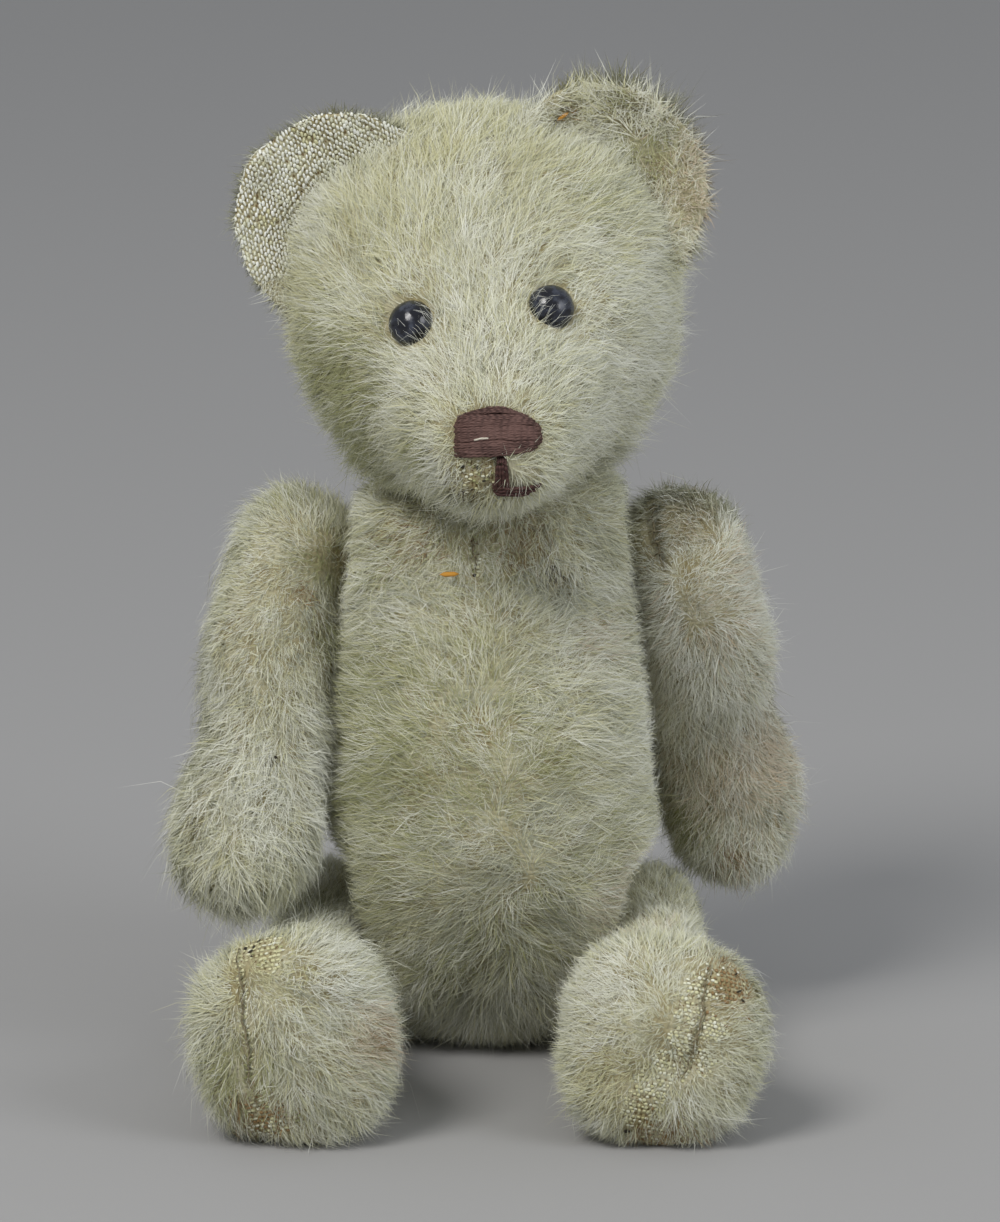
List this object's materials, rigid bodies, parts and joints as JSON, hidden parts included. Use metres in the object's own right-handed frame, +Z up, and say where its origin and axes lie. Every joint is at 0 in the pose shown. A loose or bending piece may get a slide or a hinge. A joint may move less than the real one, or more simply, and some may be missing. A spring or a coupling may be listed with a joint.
{
  "type": "teddy bear",
  "caption": "Small sitting teddy bear in worn pale mohair with disc-jointed head, arms and legs, black glass eyes, a stitched brown nose and bald, threadbare patches.",
  "frame": {"origin": "centre of the flat seat under the torso, on the surface that the bear sits on", "axes": "+Z up, -Y out of the bear's chest, +X towards the bear's own left"},
  "size_m": [0.068, 0.0652, 0.1069],
  "materials": {
    "mohair": "worn, grimy cream mohair plush on cotton backing",
    "wood_wool": "packed wood shavings",
    "card": "pressed card",
    "steel": "plain steel",
    "black_glass": "polished, opaque",
    "brown_thread": "satin-stitched cotton thread"
  },
  "bodies": {
    "torso": {"hip_left_cotter_pin": "steel", "hip_left_torso_disc": "card", "hip_left_torso_washer": "steel", "hip_right_cotter_pin": "steel", "hip_right_torso_disc": "card", "hip_right_torso_washer": "steel", "neck_cotter_pin": "steel", "neck_torso_disc": "card", "neck_torso_washer": "steel", "shoulder_left_cotter_pin": "steel", "shoulder_left_torso_disc": "card", "shoulder_left_torso_washer": "steel", "shoulder_right_cotter_pin": "steel", "shoulder_right_torso_disc": "card", "shoulder_right_torso_washer": "steel", "torso_cover": "mohair", "torso_stuffing": "wood_wool"},
    "head": {"ear_left": "mohair", "ear_right": "mohair", "eye_left": "black_glass", "eye_right": "black_glass", "head_cover": "mohair", "head_stuffing": "wood_wool", "mouth_stitching": "brown_thread", "neck_head_disc": "card", "neck_head_washer": "steel", "nose_stitching": "brown_thread"},
    "arm_left": {"arm_left_cover": "mohair", "arm_left_stuffing": "wood_wool", "shoulder_left_arm_disc": "card", "shoulder_left_arm_washer": "steel"},
    "arm_right": {"arm_right_cover": "mohair", "arm_right_stuffing": "wood_wool", "shoulder_right_arm_disc": "card", "shoulder_right_arm_washer": "steel"},
    "leg_left": {"hip_left_leg_disc": "card", "hip_left_leg_washer": "steel", "leg_left_cover": "mohair", "leg_left_stuffing": "wood_wool"},
    "leg_right": {"hip_right_leg_disc": "card", "hip_right_leg_washer": "steel", "leg_right_cover": "mohair", "leg_right_stuffing": "wood_wool"}
  },
  "joints": [
    {"name": "neck_turn", "type": "hinge", "parent": "torso", "child": "head", "pos_m": [0.0015, -0.003, 0.0632], "axis": [-0.1132, 0, 0.9936], "continuous": true},
    {"name": "shoulder_left_turn", "type": "hinge", "parent": "torso", "child": "arm_left", "pos_m": [0.01562, -0.00334, 0.0508], "axis": [-0.9945, 0, -0.1045], "range_deg": [-76, 120]},
    {"name": "shoulder_right_turn", "type": "hinge", "parent": "torso", "child": "arm_right", "pos_m": [-0.01572, -0.00334, 0.0508], "axis": [-0.9945, 0, 0.1045], "range_deg": [-120, 76]},
    {"name": "hip_left_turn", "type": "hinge", "parent": "torso", "child": "leg_left", "pos_m": [0.01303, -0.00185, 0.0104], "axis": [-0.9848, 0, 0.1736], "range_deg": [-180, 0]},
    {"name": "hip_right_turn", "type": "hinge", "parent": "torso", "child": "leg_right", "pos_m": [-0.01298, -0.00185, 0.0104], "axis": [-0.9943, 0.0608, -0.0872], "range_deg": [-180, 0]}
  ]
}
